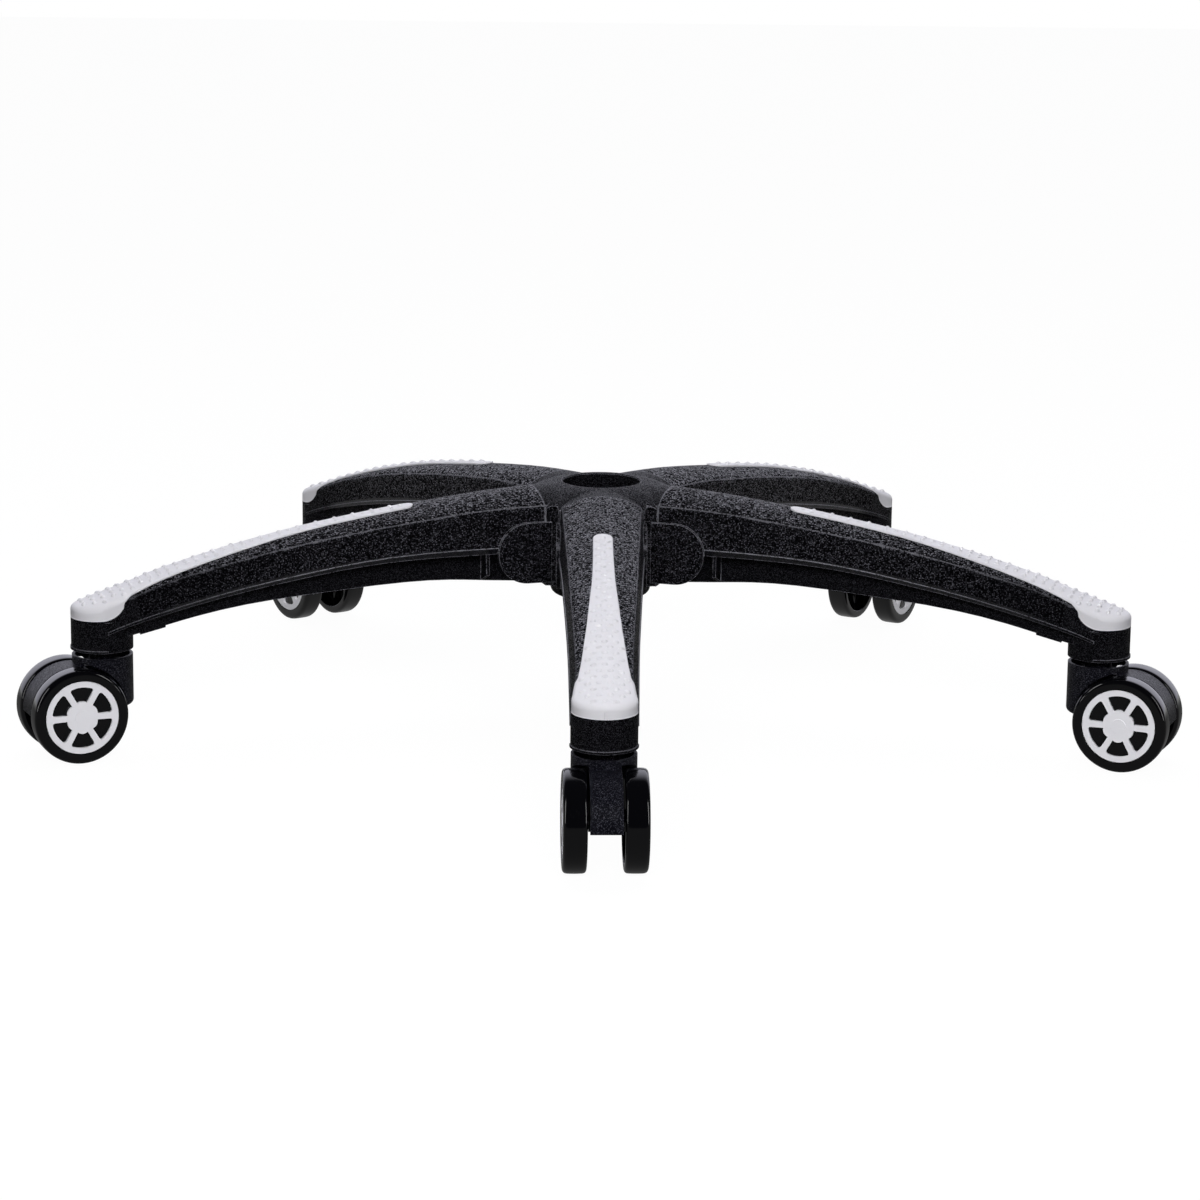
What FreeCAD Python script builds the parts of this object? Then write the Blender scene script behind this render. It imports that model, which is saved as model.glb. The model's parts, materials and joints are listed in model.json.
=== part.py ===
# Five star base of an office chair, with white foot pads and twin-wheel casters.
# Lengths are millimetres. Heights count up from the floor while the pieces are made,
# and each piece is lowered at the end so that the origin is the mouth of the gas lift bore.
import FreeCAD, Part
import os
from math import atan2, cos, degrees, radians, sin, sqrt

from FreeCAD import Vector

# Star: arm 1 points at the viewer (-Y), and the others follow anticlockwise.
arm_count = 5
first_arm_deg = -90.0
stem_circle_r = 327.5

# Gas lift bore: a straight land at the mouth, then the slow cone of the gas lift.
hub_top_z = 157.1
bore_land_r = 25.1
bore_land_len = 12.0
bore_lead_in = 0.8
bore_cone_deg = 1.44

# Hub: inner tube, collar below it, hollow ring round it and a ring wall that the arms start from.
collar_r = 32.5
collar_bottom_z = 83.0
collar_edge_round = 5.0
hub_ring_r = 44.0
hub_ring_wall = 3.2
hub_bottom_z = 96.0
hub_roof = 7.0
dome_fall_len = 70.0
corner_round_r = 6.0
hub_web_t = 2.6
hub_web_in = 3.0
dome_reach_r = 60.0
corner_at_r = 46.0
ring_roof_drop = 2.0
bore_step = 0.25

# Arm walls.
wall_t = 3.0
roof_t = 4.4
shoulder_round = 2.4
lip_proud = 0.5
arm_root_r = 20.0
arm_root_overlap = 1.6
arm_root_top_z = 146.0

# Ribs under the arm: two long ones, a zigzag between them and a gusset to each wall near the hub.
rib_t = 2.6
rib_half_gap = 12.5
zigzag_t = 2.2
zigzag_rise = 1.5
zigzag_count = 8
rib_start_r = 66.0
rib_end_r = 316.0
rib_run_in = 24.0
zigzag_run_in = 10.0
zigzag_run_out = 10.0
gusset_r = 84.0
gusset_rise = 6.6
rib_pad_start_r = 290.0
rib_pad_end_r = 306.0
rib_pad_drop = 1.2
rib_below = 8.0
foot_line_steps = 12

# Rounded patch on each side of an arm, beside the hub.
patch_end_r = 58.0
patch_radius = 19.6
patch_mid_z = 117.9
patch_half = 28.6
patch_t = 4.4
patch_run_in = 6.0

# Boss at the arm's tip, with the socket of the caster stem.
boss_r = 19.3
boss_bottom_z = 68.0
boss_lip_h = 1.6
boss_lip = 0.5
boss_top_gap = 0.6
boss_wall = 3.0
boss_pocket_depth = 12.0
boss_pocket_count = 4
socket_wall = 3.2
socket_depth = 24.0
ring_seat_depth = 0.9
ring_seat_room = 0.1
ring_below_top = 3.5
ring_seat_over = 0.5

# Foot pad: a tongue along the arm's top and a skirt round its tip.
pad_proud = 1.0
pad_sunk = 2.0
pad_core_drop = 60.0
skirt_t = 2.2
pad_start_r = 126.7
skirt_start_r = 305.8
skirt_bottom_z = 88.1
skirt_overlap = 4.0

# Caster stem: steel pin with a collar, held in its socket by a split ring.
stem_top_r = 5.5
stem_low_r = 5.0
stem_collar_r = 8.5
stem_collar_t = 2.6
stem_groove_r = 4.7
stem_edge = 1.0
stem_edge_low = 0.8
stem_end_gap = 1.0
grip_ring_h = 4.0
grip_ring_side = 0.1
grip_ring_split = 2.4
socket_gap = 0.05
swivel_gap = 0.06
ring_gap = 0.02
seat_gap = 0.3

# Caster housing.
trail = 20.1
neck_r = 19.0
neck_top_z = 64.2
neck_bottom_z = 32.0
neck_wall = 2.2
neck_foot_round = 3.0
cup_depth = 5.0
cup_rim = 1.8
stem_boss_r = 8.4
stem_boss_foot = 4.0
stem_hole_bottom_z = 40.0
fender_r = 29.0
fender_half = 9.35
fender_t = 2.2
fender_side_z = 33.0
axle_boss_r = 6.4
housing_web_t = 2.4
wheel_gap_r = 1.2

# Wheels and their axle.
wheel_r = 30.0
wheel_inner_y = 10.6
wheel_outer_y = 24.4
tread_round = 1.8
rim_inner_r = 24.6
wheel_web_t = 3.2
wheel_hub_r = 6.4
wheel_hub_start_y = fender_half + seat_gap
wheel_rib_count = 6
wheel_rib_t = 1.6
wheel_rib_depth = 4.0
rib_overlap = 0.5
axle_r = 3.0
axle_gap = 0.05
axle_end_gap = 0.4
axle_edge = 0.5

# White hub cap pressed into the wheel's face.
cap_r = 23.0
cap_t = 1.8
cap_recess = 0.4
cap_fit = 0.03
window_outer_r = 19.3
window_inner_r = 9.3
spoke_half = 2.7
window_round = 1.5
lobe_reach_r = 10.3
lobe_r = 3.4
cap_disc_r = 4.7
cap_disc_h = 0.4

# How far each caster has swivelled from pointing straight out, and how far its wheels are rolled.
swivel_deg = [1.92, -3.93, 7.35, -1.75, 4.77]
roll_deg = [6.0, 0.0, 6.0, 6.0, 0.0]

# Arm shape along its length. Each pair is a distance from the hub's axis and a height or a half width.
roof_line = [(24, 157.0), (46, 155.7), (78, 153.3), (122, 148.2), (151, 144.3), (198, 136.6), (231, 129.4),
             (255, 123.6), (290, 113.4), (324, 102.2), (344, 95.6), (356, 91.4)]
shoulder_line = [(24, 149.2), (45, 148.0), (83, 146.7), (111, 143.8), (156, 138.0), (212, 129.0),
                 (260, 118.4), (288, 111.2), (316, 101.0), (344, 90.8), (356, 86.4)]
wall_foot_line = [(24, 118.4), (60, 118.3), (82, 118.3), (100, 118.2), (134, 117.2), (168, 114.4),
                  (205, 108.9), (238, 103.0), (268, 96.6), (293, 90.4), (314, 84.5), (331, 78.6), (356, 70.6)]
lip_line = [(24, 3.8), (84, 3.7), (170, 2.8), (280, 2.0), (356, 1.4)]
shoulder_half = [(24, 26.3), (42, 26.0), (217, 19.9), (282, 17.2), (304, 16.7), (314, 17.1), (324, 18.3),
                 (333, 19.1), (356, 19.3)]
foot_half = [(24, 27.6), (60, 27.3), (165, 23.6), (242, 20.9), (279, 20.1), (304, 19.7), (330, 19.3),
             (356, 19.3)]
rib_foot_line = [(60, 97.0), (68, 97.7), (88, 99.2), (112, 100.7), (144, 100.3), (189, 97.2), (225, 94.2),
                 (260, 89.2), (294, 81.6), (314, 77.0)]
section_r = [24, 46, 80, 122, 165, 205, 240, 270, 292, 306, 318, 328, 342, 356]

tongue_half = [(134, 6.0), (171, 6.3), (202, 7.0), (229, 8.5), (255, 10.0), (277, 11.6), (299, 13.5),
               (312, 15.3), (326, 17.6)]
skirt_curve = [(skirt_start_r, 107.0), (313.8, 103.0), (317.0, 96.0), (320.6, 91.9),
               (329.2, skirt_bottom_z + 0.4)]

up = Vector(0, 0, 1)
side = Vector(0, 1, 0)
mouth_z = hub_top_z - bore_lead_in
axle_z = wheel_r

# Reach of the cutting blocks, past the part on every side.
far_r = 400.0
far_y = 60.0
far_z = 2 * hub_top_z


def value_at(line, r):
    """Height or half width at distance r: straight between the points of a line."""
    for (r0, v0), (r1, v1) in zip(line, line[1:]):
        if r <= r1:
            return v0 + (v1 - v0) * (r - r0) / (r1 - r0)
    return line[-1][1]


def smooth_value(line, r):
    """Height or half width at distance r on the cubic through a line's points (Catmull-Rom slopes)."""
    for i, ((r0, v0), (r1, v1)) in enumerate(zip(line, line[1:])):
        if r <= r1 or i == len(line) - 2:
            before = line[max(i - 1, 0)]
            after = line[min(i + 2, len(line) - 1)]
            slope0 = (v1 - before[1]) / (r1 - before[0])
            slope1 = (after[1] - v0) / (after[0] - r0)
            t = (r - r0) / (r1 - r0)
            span = r1 - r0
            return ((2 * t**3 - 3 * t**2 + 1) * v0 + (t**3 - 2 * t**2 + t) * span * slope0
                    + (3 * t**2 - 2 * t**3) * v1 + (t**3 - t**2) * span * slope1)


def turned(shape, degrees_up, centre=Vector(0, 0, 0)):
    """A copy of a shape turned about a vertical line."""
    copy = shape.copy()
    copy.rotate(centre, up, degrees_up)
    return copy


def mirrored(shape):
    """The same shape on the other side of the arm's or caster's middle plane."""
    return shape.mirror(Vector(0, 0, 0), side)


def fused(shapes):
    """One solid from several that overlap, with the seams on flat faces taken away."""
    return shapes[0].fuse(shapes[1:]).removeSplitter()


def cylinder(r, z0, z1, centre=(0.0, 0.0)):
    """Upright round bar between two heights."""
    return Part.makeCylinder(r, z1 - z0, Vector(centre[0], centre[1], z0), up)


def tube(r_in, r_out, z0, z1, centre=(0.0, 0.0)):
    """Upright round tube between two heights."""
    return cylinder(r_out, z0, z1, centre).cut(cylinder(r_in, z0 - 1, z1 + 1, centre))


def block(x0, x1, y0, y1, z0, z1):
    """Box between two corners."""
    return Part.makeBox(x1 - x0, y1 - y0, z1 - z0, Vector(x0, y0, z0))


def turned_profile(points):
    """Solid of revolution about Z from a closed outline of (r, z) points."""
    corners = [Vector(r, 0, z) for r, z in points]
    face = Part.Face(Part.makePolygon(corners + corners[:1]))
    return face.revolve(Vector(0, 0, 0), up, 360)


def arm_section(r, lift, spread, drop):
    """
    Outline across the arm at distance r, as a closed wire.

    The sides lean from the wall's foot to the shoulder, the roof is one arc through both shoulders
    and the roof line, and a small arc rounds each shoulder. A lip stands a little proud along the
    foot. Lift raises the roof and shoulders, spread widens the whole outline, and drop carries the
    leaning sides further down.
    """
    roof_z = smooth_value(roof_line, r) + lift
    shoulder_z = smooth_value(shoulder_line, r) + lift
    foot_z = smooth_value(wall_foot_line, r)
    half_top = smooth_value(shoulder_half, r) + spread
    half_foot = smooth_value(foot_half, r) + spread
    crown = roof_z - shoulder_z
    crown_r = (half_top**2 + crown**2) / (2 * crown)
    lean = (half_foot - half_top) / (shoulder_z - foot_z)
    lip_h = smooth_value(lip_line, r)
    foot_z -= drop
    half_foot += lean * drop
    step_half = half_foot - lean * lip_h

    round_back = shoulder_round / half_top
    roof_y = half_top * (1 - round_back)
    roof_edge_z = roof_z - crown_r + sqrt(crown_r**2 - roof_y**2)
    wall_y = half_top + lean * shoulder_round
    wall_z = shoulder_z - shoulder_round
    pull = 0.54
    mid_y = half_top + pull * ((roof_y + wall_y) / 2 - half_top)
    mid_z = shoulder_z + pull * ((roof_edge_z + wall_z) / 2 - shoulder_z)

    def at(y, z):
        return Vector(r, y, z)

    left = [at(-roof_y, roof_edge_z), at(-mid_y, mid_z), at(-wall_y, wall_z)]
    right = [at(wall_y, wall_z), at(mid_y, mid_z), at(roof_y, roof_edge_z)]
    foot = [at(-step_half, foot_z + lip_h), at(-step_half - lip_proud, foot_z + lip_h),
            at(-half_foot - lip_proud, foot_z), at(half_foot + lip_proud, foot_z),
            at(step_half + lip_proud, foot_z + lip_h), at(step_half, foot_z + lip_h)]
    path = [left[2]] + foot + [right[0]]
    edges = [Part.Arc(*left).toShape()]
    edges += [Part.LineSegment(a, b).toShape() for a, b in zip(path, path[1:])]
    edges.append(Part.Arc(*right).toShape())
    edges.append(Part.Arc(right[2], at(0, roof_z), left[0]).toShape())
    return Part.Wire(edges)


def arm_body(lift=0.0, spread=0.0, drop=0.0):
    """The arm's outside from the hub to beyond its tip, then rounded in plan at the tip."""
    body = Part.makeLoft([arm_section(r, lift, spread, drop) for r in section_r], True, False)
    tip_r = boss_r + spread
    inner_part = block(0, stem_circle_r, -far_y, far_y, 0, far_z)
    return body.common(inner_part.fuse(cylinder(tip_r, 0, far_z, (stem_circle_r, 0))))


def arm_hollow():
    """The open space under the arm's roof, between its walls, from the hub's ring to the boss."""
    wires = []
    for r in section_r:
        roof_z = smooth_value(roof_line, r) - roof_t
        shoulder_z = smooth_value(shoulder_line, r) - roof_t
        foot_z = smooth_value(wall_foot_line, r) - rib_below
        half_top = smooth_value(shoulder_half, r) - wall_t
        half_foot = smooth_value(foot_half, r) - wall_t
        low = [Vector(r, -half_top, shoulder_z), Vector(r, -half_foot, foot_z),
               Vector(r, half_foot, foot_z), Vector(r, half_top, shoulder_z)]
        edges = [Part.LineSegment(a, b).toShape() for a, b in zip(low, low[1:])]
        edges.append(Part.Arc(low[3], Vector(r, 0, roof_z), low[0]).toShape())
        wires.append(Part.Wire(edges))
    space = Part.makeLoft(wires, True, False)
    space = space.cut(cylinder(hub_ring_r, 0, far_z))
    return space.cut(block(stem_circle_r - boss_r + boss_wall, far_r, -far_y, far_y, 0, far_z))


def above_line(foot_line, rise, half, r0, r1):
    """Plate or block across the arm from a foot line, raised by rise, up past the roof."""
    steps = [r0 + (r1 - r0) * i / foot_line_steps for i in range(foot_line_steps + 1)]
    foot = Part.BSplineCurve()
    foot.interpolate([Vector(r, -half, smooth_value(foot_line, r) + rise) for r in steps])
    top_start = Vector(r0, -half, far_z)
    top_end = Vector(r1, -half, far_z)
    wire = Part.Wire([foot.toShape(), Part.LineSegment(foot.EndPoint, top_end).toShape(),
                      Part.LineSegment(top_end, top_start).toShape(),
                      Part.LineSegment(top_start, foot.StartPoint).toShape()])
    return Part.Face(wire).extrude(Vector(0, 2 * half, 0))


def rib_space():
    """Room that the ribs may fill: up to the middle of the roof, out to the middle of the walls."""
    wires = []
    for r in section_r:
        roof_z = smooth_value(roof_line, r) - roof_t / 2
        shoulder_z = smooth_value(shoulder_line, r) - roof_t / 2
        foot_z = smooth_value(wall_foot_line, r)
        half_top = smooth_value(shoulder_half, r) - wall_t / 2
        half_foot = smooth_value(foot_half, r) - wall_t / 2
        deep = boss_bottom_z - rib_below
        half_deep = half_foot + (half_foot - half_top) * (foot_z - deep) / (shoulder_z - foot_z)
        low = [Vector(r, -half_top, shoulder_z), Vector(r, -half_deep, deep),
               Vector(r, half_deep, deep), Vector(r, half_top, shoulder_z)]
        edges = [Part.LineSegment(a, b).toShape() for a, b in zip(low, low[1:])]
        edges.append(Part.Arc(low[3], Vector(r, 0, roof_z), low[0]).toShape())
        wires.append(Part.Wire(edges))
    return Part.makeLoft(wires, True, False)


def arm_ribs():
    """Two long ribs, the zigzag between them and a gusset from each rib to its wall near the hub."""
    plate = above_line(rib_foot_line, 0, rib_t / 2, rib_start_r - rib_run_in, rib_end_r)
    plate = plate.fuse(above_line(rib_foot_line, -rib_pad_drop, rib_t / 2, rib_pad_start_r, rib_pad_end_r))
    long_ribs = []
    for sign in (-1, 1):
        rib = plate.copy()
        rib.translate(Vector(0, sign * rib_half_gap, 0))
        long_ribs.append(rib)

    zigzag_len = rib_end_r - zigzag_run_out - rib_start_r
    nodes = [rib_start_r + zigzag_len * i / zigzag_count for i in range(zigzag_count + 1)]
    slats = []
    for i, (r0, r1) in enumerate(zip(nodes, nodes[1:])):
        start_y = rib_half_gap * (-1) ** i
        run = sqrt((r1 - r0) ** 2 + (2 * start_y) ** 2)
        slat = block(0, run, -zigzag_t / 2, zigzag_t / 2, boss_bottom_z - rib_below, far_z)
        slat.rotate(Vector(0, 0, 0), up, degrees(atan2(-2 * start_y, r1 - r0)))
        slat.translate(Vector(r0, start_y, 0))
        slats.append(slat)
    between = above_line(rib_foot_line, zigzag_rise, rib_half_gap, rib_start_r - zigzag_run_in, rib_end_r)
    zigzag = slats[0].fuse(slats[1:]).common(between)

    low_z = smooth_value(rib_foot_line, gusset_r)
    face_r = gusset_r - zigzag_t / 2
    corners = [Vector(face_r, rib_half_gap, low_z), Vector(face_r, patch_half, low_z + gusset_rise),
               Vector(face_r, patch_half, far_z), Vector(face_r, rib_half_gap, far_z)]
    gusset = Part.Face(Part.makePolygon(corners + corners[:1])).extrude(Vector(zigzag_t, 0, 0))
    ribs = long_ribs[0].fuse([long_ribs[1], zigzag, gusset, mirrored(gusset)])
    return ribs.common(rib_space())


def side_patch():
    """Rounded plate on the arm's side wall beside the hub, a little proud of the wall."""
    low = patch_mid_z - patch_radius
    high = patch_mid_z + patch_radius
    start_r = hub_ring_r - patch_run_in
    y = patch_half - patch_t
    a = Vector(start_r, y, low)
    b = Vector(patch_end_r, y, low)
    c = Vector(patch_end_r + patch_radius, y, patch_mid_z)
    d = Vector(patch_end_r, y, high)
    e = Vector(start_r, y, high)
    wire = Part.Wire([Part.LineSegment(a, b).toShape(), Part.Arc(b, c, d).toShape(),
                      Part.LineSegment(d, e).toShape(), Part.LineSegment(e, a).toShape()])
    return Part.Face(wire).extrude(Vector(0, patch_t, 0))


def pad_region():
    """What a foot pad covers of its arm: a tongue seen from above and a skirt seen from the side."""
    edge = Part.BSplineCurve()
    edge.interpolate([Vector(r, -h, boss_bottom_z) for r, h in tongue_half])
    mirror_edge = Part.BSplineCurve()
    mirror_edge.interpolate([Vector(r, h, boss_bottom_z) for r, h in tongue_half])
    nose = Vector(pad_start_r, 0, boss_bottom_z)
    start = Part.Arc(edge.StartPoint, nose, mirror_edge.StartPoint).toShape()
    end = Part.LineSegment(edge.EndPoint, mirror_edge.EndPoint).toShape()
    outline = Part.Wire([start, mirror_edge.toShape(), end, edge.toShape()])
    below_z = skirt_bottom_z + skirt_overlap
    below_skirt = block(skirt_start_r + skirt_overlap, far_r, -far_y, far_y, 0, below_z)
    tongue = Part.Face(outline).extrude(up * hub_top_z).cut(below_skirt)

    shoulder, bend, turn, hollow, level = [Vector(r, -far_y, z) for r, z in skirt_curve]
    top_left = Vector(skirt_start_r, -far_y, hub_top_z)
    front = Vector(far_r, -far_y, skirt_bottom_z)
    corner = Vector(far_r, -far_y, hub_top_z)
    pieces = [Part.LineSegment(top_left, shoulder), Part.Arc(shoulder, bend, turn),
              Part.Arc(turn, hollow, level), Part.LineSegment(level, front),
              Part.LineSegment(front, corner), Part.LineSegment(corner, top_left)]
    skirt = Part.Face(Part.Wire([piece.toShape() for piece in pieces]))
    return tongue.fuse(skirt.extrude(Vector(0, 2 * far_y, 0)))


def foot_pad_and_seat():
    """White foot pad of one arm, and the recess that it sits in."""
    region = pad_region()
    core = arm_body(-pad_sunk, -skirt_t, pad_core_drop)
    seat = region.cut(core)
    pad = arm_body(pad_proud, 0.0).common(seat)
    return pad, seat


def hub_solid():
    """Domed hub with concave corners between the arms, its collar and its inner tube, not yet bored."""
    outer_z = hub_top_z - (dome_reach_r - bore_land_r) ** 2 / dome_fall_len
    mid_r = (dome_reach_r + bore_land_r) / 2
    mid_z = hub_top_z - (mid_r - bore_land_r) ** 2 / dome_fall_len
    low = Vector(0, 0, hub_bottom_z)
    low_rim = Vector(dome_reach_r, 0, hub_bottom_z)
    high_rim = Vector(dome_reach_r, 0, outer_z)
    crest = Vector(bore_land_r, 0, hub_top_z)
    middle = Vector(0, 0, hub_top_z)
    edges = [Part.LineSegment(low, low_rim).toShape(), Part.LineSegment(low_rim, high_rim).toShape(),
             Part.Arc(high_rim, Vector(mid_r, 0, mid_z), crest).toShape(),
             Part.LineSegment(crest, middle).toShape(), Part.LineSegment(middle, low).toShape()]
    dome = Part.Face(Part.Wire(edges)).revolve(Vector(0, 0, 0), up, 360)

    half_step = radians(180.0 / arm_count)
    side_y = value_at(foot_half, corner_at_r)
    corner_r = side_y / sin(half_step)
    tangent_r = corner_r * cos(half_step) + corner_round_r / (sin(half_step) / cos(half_step))
    nearest_r = corner_r + corner_round_r / sin(half_step) - corner_round_r
    edges = []
    for i in range(arm_count):
        arm = radians(first_arm_deg + 360.0 * i / arm_count)
        following = arm + 2 * half_step
        along = Vector(cos(arm), sin(arm), 0)
        across = Vector(-sin(arm), cos(arm), 0)
        next_along = Vector(cos(following), sin(following), 0)
        next_across = Vector(-sin(following), cos(following), 0)
        start = along * tangent_r - across * side_y
        left = along * tangent_r + across * side_y
        finish = next_along * tangent_r - next_across * side_y
        between = arm + half_step
        hollow = Vector(cos(between), sin(between), 0) * nearest_r
        edges.append(Part.LineSegment(start, left).toShape())
        edges.append(Part.Arc(left, hollow, finish).toShape())
    plan = Part.Face(Part.Wire(edges)).extrude(up * far_z)
    collar = cylinder(collar_r, collar_bottom_z, hub_top_z - hub_roof)
    rim = [edge for edge in collar.Edges if abs(edge.BoundBox.ZMax - collar_bottom_z) < 0.01
           and edge.BoundBox.DiagonalLength > collar_r]
    return fused([dome.common(plan), collar.makeFillet(collar_edge_round, rim)])


def hub_hollows():
    """The gas lift bore, and the hollow ring between the collar and the hub's ring wall."""
    cone_len = mouth_z - bore_land_len - collar_bottom_z
    cone_end_r = bore_land_r - bore_step - cone_len * sin(radians(bore_cone_deg))
    land_end_z = mouth_z - bore_land_len
    bore = turned_profile([(0, hub_top_z + 1), (bore_land_r + bore_lead_in + 1, hub_top_z + 1),
                           (bore_land_r, mouth_z), (bore_land_r, land_end_z),
                           (bore_land_r - bore_step, land_end_z),
                           (cone_end_r, collar_bottom_z - 1), (0, collar_bottom_z - 1)])
    ring_roof_z = hub_top_z - hub_roof - ring_roof_drop
    ring = tube(collar_r, hub_ring_r - hub_ring_wall, collar_bottom_z, ring_roof_z)
    web_in_r = collar_r - hub_web_in
    web = block(web_in_r, hub_ring_r, -hub_web_t / 2, hub_web_t / 2, hub_bottom_z + 1, ring_roof_z + 1)
    webs = [turned(web, first_arm_deg + 180.0 * i / arm_count) for i in range(2 * arm_count)]
    return bore, ring.cut(webs[0].fuse(webs[1:]))


def tip_boss():
    """Boss under the arm's tip, with its lip, before the socket and pockets are cut."""
    centre = (stem_circle_r, 0)
    bar = cylinder(boss_r, boss_bottom_z, skirt_bottom_z - boss_top_gap, centre)
    lip = cylinder(boss_r + boss_lip, boss_bottom_z, boss_bottom_z + boss_lip_h, centre)
    outer_half = block(stem_circle_r, far_r, -far_y, far_y, 0, far_z)
    return bar.fuse(lip.common(outer_half))


def ring_groove_z():
    """Height of the grip ring's groove."""
    return boss_bottom_z + socket_depth - grip_ring_h - ring_below_top


def tip_cuts():
    """Socket of the caster stem and the moulding pockets round it."""
    centre = (stem_circle_r, 0)
    socket = cylinder(stem_top_r + socket_gap, boss_bottom_z - 1, boss_bottom_z + socket_depth, centre)
    seat_low = ring_groove_z() - ring_seat_over
    seat_high = ring_groove_z() + grip_ring_h + ring_seat_over
    seat_r = stem_top_r + socket_gap + ring_seat_depth + ring_seat_room
    ring_seat = cylinder(seat_r, seat_low, seat_high, centre)
    pocket = tube(stem_top_r + ring_seat_depth + socket_wall, boss_r - boss_wall, boss_bottom_z - 1,
                  boss_bottom_z + boss_pocket_depth, centre)
    bars = []
    for i in range(boss_pocket_count // 2):
        bar = block(stem_circle_r - boss_r, stem_circle_r + boss_r, -rib_t / 2, rib_t / 2, 0, far_z)
        bars.append(turned(bar, 45 + 360.0 * i / boss_pocket_count, Vector(stem_circle_r, 0, 0)))
    return socket, ring_seat, pocket.cut(bars[0].fuse(bars[1:]))


def star_base(seat):
    """The whole moulding: five arms, hub, ribs and bosses as one solid."""
    outer = arm_body()
    hollow = arm_hollow()
    socket, ring_seat, pocket = tip_cuts()
    patch = side_patch()
    shell = outer.cut(hollow)
    pieces = [shell, tip_boss(), patch, mirrored(patch), arm_ribs()]
    arm = pieces[0].fuse(pieces[1:])
    root_space = cylinder(hub_ring_r - arm_root_overlap, 0, arm_root_top_z)
    arm = arm.cut([seat, socket, ring_seat, pocket, root_space])
    arm = arm.common(block(arm_root_r, far_r, -far_y, far_y, 0, far_z))
    arms = [turned(arm, first_arm_deg + 360.0 * i / arm_count) for i in range(arm_count)]
    bore, ring = hub_hollows()
    body = hub_solid().fuse(arms)
    return body.cut([bore, ring]).removeSplitter()


def caster_stem():
    """Steel stem: a thick end in the base, a collar and a thinner end in the housing."""
    top_z = boss_bottom_z + socket_depth - stem_end_gap
    groove_z = ring_groove_z()
    collar_low_z = boss_bottom_z - stem_collar_t
    low_z = stem_hole_bottom_z + stem_end_gap
    return turned_profile([(0, low_z), (stem_low_r - stem_edge_low, low_z),
                           (stem_low_r, low_z + stem_edge_low), (stem_low_r, collar_low_z),
                           (stem_collar_r, collar_low_z),
                           (stem_collar_r, boss_bottom_z), (stem_top_r, boss_bottom_z),
                           (stem_top_r, groove_z), (stem_groove_r, groove_z),
                           (stem_groove_r, groove_z + grip_ring_h), (stem_top_r, groove_z + grip_ring_h),
                           (stem_top_r, top_z - stem_edge), (stem_top_r - stem_edge, top_z), (0, top_z)])


def grip_ring():
    """Split spring ring in the stem's groove, which grips the socket's seat."""
    groove_z = ring_groove_z()
    grip_r = stem_top_r + socket_gap + ring_seat_depth
    ring = tube(stem_groove_r + ring_gap, grip_r, groove_z + grip_ring_side,
                groove_z + grip_ring_h - grip_ring_side)
    return ring.cut(block(0, boss_r, -grip_ring_split / 2, grip_ring_split / 2, 0, far_z))


def lying(shape, x, y):
    """Turn a piece made along Z so that its axis lies along Y, and put it on the axle's line."""
    copy = shape.copy()
    copy.rotate(Vector(0, 0, 0), Vector(1, 0, 0), -90)
    copy.translate(Vector(x, y, axle_z))
    return copy


def lying_cylinder(r, y0, y1, x=trail):
    """Round bar along the axle's line between two side positions."""
    return lying(cylinder(r, 0, y1 - y0), x, y0)


def caster_housing():
    """Neck, fender and axle boss of one caster, with its stem at the local Z axis and its wheels on +X."""
    neck = cylinder(neck_r, neck_bottom_z, neck_top_z)
    foot = [edge for edge in neck.Edges if edge.BoundBox.ZMax < neck_bottom_z + 0.01
            and edge.BoundBox.DiagonalLength > neck_r]
    neck = neck.makeFillet(neck_foot_round, foot)
    fender = lying_cylinder(fender_r, -fender_half, fender_half)
    fender = fender.common(block(-far_y, far_r, -far_y, far_y, axle_z, far_z))
    gap_r = wheel_r + wheel_gap_r
    wheel_spaces = [lying_cylinder(gap_r, fender_half, far_y), lying_cylinder(gap_r, -far_y, -fender_half)]
    body = neck.fuse(fender).cut(wheel_spaces)

    cup = tube(stem_boss_r, neck_r - cup_rim, neck_top_z - cup_depth, neck_top_z + cup_depth)
    neck_space = cylinder(neck_r - neck_wall, 0, neck_top_z - cup_depth - neck_wall)
    neck_space = neck_space.cut([lying_cylinder(gap_r + neck_wall, -far_y, far_y)])
    fender_space = lying_cylinder(fender_r - fender_t, -fender_half + fender_t, fender_half - fender_t)
    below_side = block(-far_y, trail + fender_r - fender_t, -far_y, -fender_half + fender_t,
                       0, fender_side_z)
    other_side = mirrored(below_side)
    core = block(neck_wall - neck_r, trail, -fender_half + fender_t, fender_half - fender_t, 0,
                 neck_top_z - cup_depth - neck_wall)
    inside = fender_space.fuse([neck_space, core.common(cylinder(neck_r - neck_wall, 0, far_z))])

    stem_tube_top_z = boss_bottom_z - stem_collar_t - seat_gap
    stem_tube = cylinder(stem_boss_r, neck_bottom_z + stem_boss_foot, stem_tube_top_z)
    stem_tube = stem_tube.common(block(-far_y, far_y, -fender_half, fender_half, 0, far_z))
    axle_boss = lying_cylinder(axle_boss_r, -fender_half, fender_half)
    web = block(-neck_r + neck_wall, trail + fender_r - fender_t / 2, -housing_web_t / 2, housing_web_t / 2,
                axle_z, neck_top_z - cup_depth)
    fender_mid = lying_cylinder(fender_r - fender_t / 2, -far_y, far_y)
    reach = fender_mid.fuse(cylinder(neck_r - neck_wall / 2, 0, far_z))
    column = cylinder(neck_r, 0, far_z)
    body = body.cut([cup, inside, below_side.cut(column), other_side.cut(column)])
    body = body.fuse([stem_tube, axle_boss, web.common(reach)])
    stem_hole = cylinder(stem_low_r + swivel_gap, stem_hole_bottom_z, far_z)
    axle_hole = lying_cylinder(axle_r + ring_gap, -far_y, far_y)
    return body.cut([stem_hole, axle_hole]).removeSplitter()


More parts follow.
